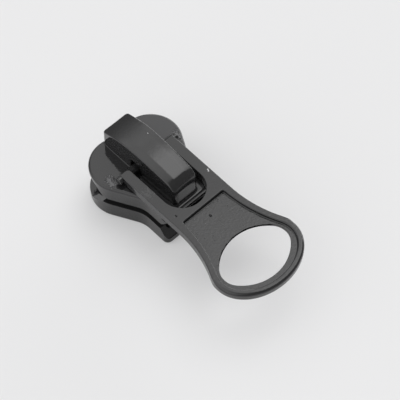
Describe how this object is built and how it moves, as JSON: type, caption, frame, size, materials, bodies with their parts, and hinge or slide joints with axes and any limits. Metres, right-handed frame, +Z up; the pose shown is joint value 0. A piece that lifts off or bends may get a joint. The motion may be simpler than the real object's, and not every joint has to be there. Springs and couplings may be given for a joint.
{
  "type": "zip fastener slider",
  "caption": "Automatic-lock zip slider: heart-shaped two-plate body, bridge cap over a sprung locking pawl, and a flat flip-over pull tab with an oval eye.",
  "frame": {"origin": "middle of the underside, on the line through the centres of the two shoulder lobes", "axes": "+X from the shoulders to the tail, +Z up through the cap, +Y completes the right-handed frame"},
  "size_m": [0.0359, 0.0154, 0.0122],
  "materials": {
    "body_paint": "gloss black enamel on a zinc casting",
    "cap_paint": "gloss black enamel on pressed steel",
    "spring_steel": "bright spring strip",
    "pawl_brass": "satin pressed brass",
    "tab_paint": "gloss black enamel on a zinc casting"
  },
  "bodies": {
    "slider": {"slider_body": "body_paint", "bridge_cap": "cap_paint", "leaf_spring": "spring_steel"},
    "pawl": {"locking_pawl": "pawl_brass"},
    "tab": {"pull_tab": "tab_paint"}
  },
  "joints": [
    {"name": "pawl_lift", "type": "hinge", "parent": "slider", "child": "pawl", "pos_m": [-0.0025, 0, 0.0092], "axis": [0, -1, 0], "range_deg": [0, 6.5], "stiffness_Nm_per_rad": 0.06, "springref_deg": -11.46, "deforming": ["leaf_spring"]},
    {"name": "tab_swing", "type": "hinge", "parent": "pawl", "child": "tab", "pos_m": [0.0026, 0, 0.00822], "axis": [0, -1, 0], "range_deg": [0, 178]}
  ]
}
